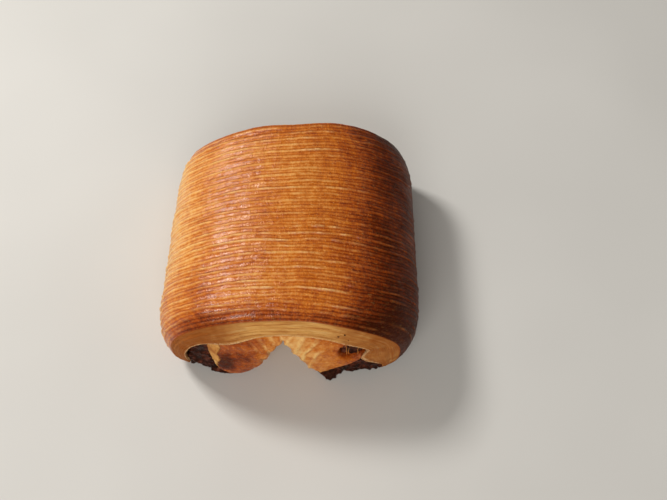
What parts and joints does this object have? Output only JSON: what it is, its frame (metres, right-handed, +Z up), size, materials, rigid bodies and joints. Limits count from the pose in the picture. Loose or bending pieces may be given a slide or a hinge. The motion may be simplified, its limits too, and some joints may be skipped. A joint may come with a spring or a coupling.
{
  "type": "pain au chocolat",
  "caption": "Baked laminated pastry with a ridged striped crust over two inward rolls, chocolate showing at the cut ends.",
  "frame": {"origin": "on the surface the pastry rests on, under the middle of its outline", "axes": "+Z up; +Y from the cut end that shows towards the back, along the rolls; +X to the right, across the two rolls"},
  "size_m": [0.0954, 0.0904, 0.044],
  "materials": {
    "crust": "glazed baked crust, golden brown",
    "chocolate": "melted dark chocolate, set rough"
  },
  "bodies": {
    "root": {"dough": "crust", "chocolate_left": "chocolate", "chocolate_right_upper": "chocolate", "chocolate_right_lower": "chocolate"}
  },
  "joints": []
}
